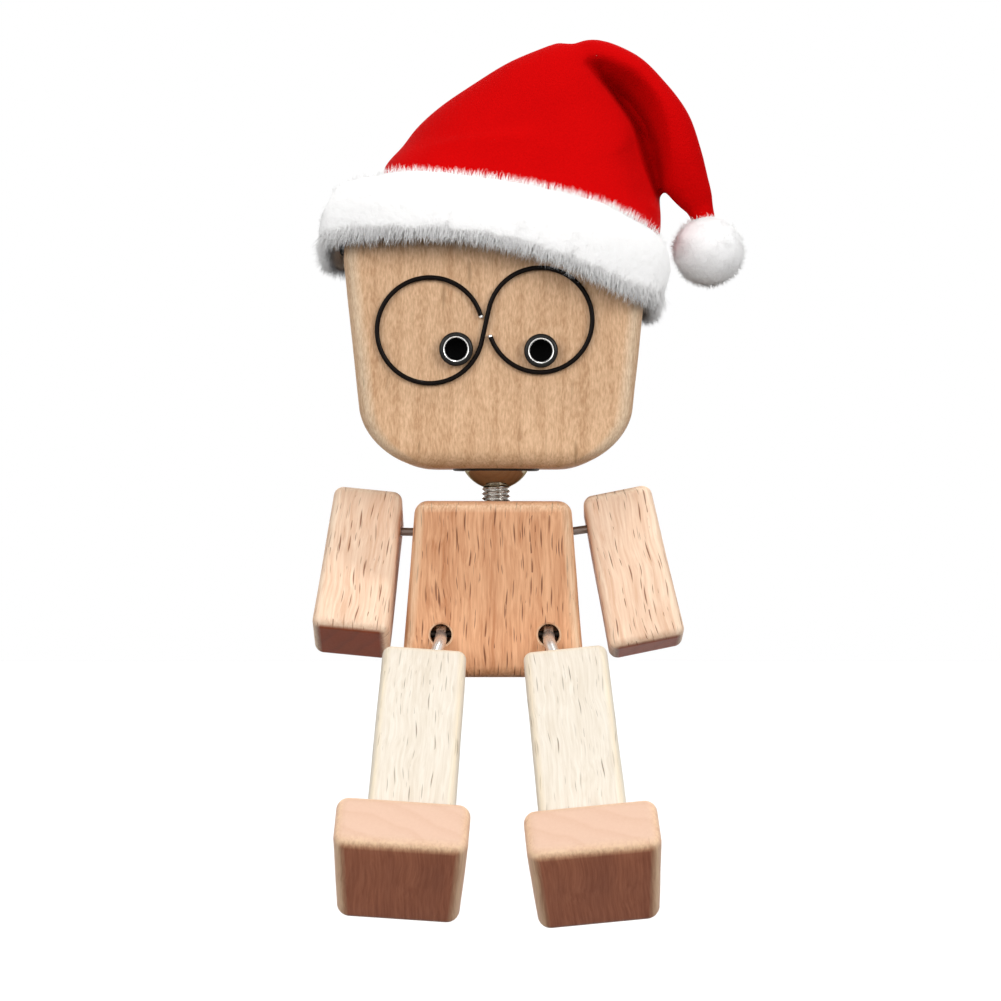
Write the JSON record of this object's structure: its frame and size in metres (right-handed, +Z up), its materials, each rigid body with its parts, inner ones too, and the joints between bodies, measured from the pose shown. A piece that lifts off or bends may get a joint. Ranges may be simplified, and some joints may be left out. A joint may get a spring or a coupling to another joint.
{
  "type": "jointed wooden block figure",
  "caption": "Ledge-sitting jointed beech block figure with a magnet ball neck, pinned arms, swinging legs, wire spectacles, eyelet eyes and a soft pointed hat.",
  "frame": {"origin": "middle of the torso's flat underside, where the figure sits on a ledge", "axes": "+Z up, the face looks along -Y, +X to the viewer's right when facing it"},
  "size_m": [0.0729, 0.0772, 0.1448],
  "materials": {
    "beech": "fine-sanded beech with dark flecks, thin matt oil",
    "pale_beech": "fine-sanded pale beech, thin matt oil",
    "bright_steel": "drawn bright wire",
    "chrome": "polished ball",
    "dark_steel": "dull plated",
    "black_nickel": "black nickel plate, satin",
    "black_wire": "black oxide spring wire, bright cut ends",
    "red_velour": "short pile velour",
    "white_plush": "long pile plush"
  },
  "bodies": {
    "torso": {"torso_block": "beech", "hip_axle": "bright_steel"},
    "stud": {"neck_stud": "bright_steel"},
    "ball": {"neck_ball": "chrome"},
    "head": {"head_block": "beech", "head_magnet": "dark_steel", "magnet_cup": "dark_steel", "left_eye": "black_nickel", "right_eye": "black_nickel", "spectacles_wire": "black_wire"},
    "hat": {"hat_cone": "red_velour", "hat_brim": "white_plush", "hat_pompom": "white_plush"},
    "left_arm": {"left_arm": "beech", "left_shoulder_pin": "bright_steel"},
    "right_arm": {"right_arm": "beech", "right_shoulder_pin": "bright_steel"},
    "left_leg": {"left_leg": "pale_beech", "left_foot": "beech", "left_ankle_dowel": "pale_beech", "left_hip_pin": "bright_steel"},
    "right_leg": {"right_leg": "pale_beech", "right_foot": "beech", "right_ankle_dowel": "pale_beech", "right_hip_pin": "bright_steel"}
  },
  "joints": [
    {"name": "head_turn", "type": "hinge", "parent": "torso", "child": "stud", "pos_m": [0.0005, 0, 0.0377], "axis": [0, 0, 1], "continuous": true},
    {"name": "head_nod", "type": "hinge", "parent": "stud", "child": "ball", "pos_m": [0.0005, 0, 0.0377], "axis": [1, 0, 0], "range_deg": [-8, 8]},
    {"name": "head_lean", "type": "hinge", "parent": "ball", "child": "head", "pos_m": [0.0005, 0, 0.0377], "axis": [0, 1, 0], "range_deg": [-6, 6]},
    {"name": "hat_lift", "type": "slide", "parent": "head", "child": "hat", "axis": [0, 0, 1], "range_m": [0, 0.04]},
    {"name": "left_shoulder", "type": "hinge", "parent": "torso", "child": "left_arm", "pos_m": [-0.0216, 0, 0.0244], "axis": [-0.9998, 0, 0.0175], "range_deg": [-73, 52]},
    {"name": "right_shoulder", "type": "hinge", "parent": "torso", "child": "right_arm", "pos_m": [0.0218, 0, 0.0256], "axis": [-0.9893, 0, -0.1461], "range_deg": [-57, 68]},
    {"name": "left_hip", "type": "hinge", "parent": "torso", "child": "left_leg", "pos_m": [-0.0087, -0.007, 0.0072], "axis": [-1, 0, 0], "range_deg": [0, 21]},
    {"name": "right_hip", "type": "hinge", "parent": "torso", "child": "right_leg", "pos_m": [0.0093, -0.007, 0.0072], "axis": [-1, 0, 0], "range_deg": [0, 21]}
  ]
}
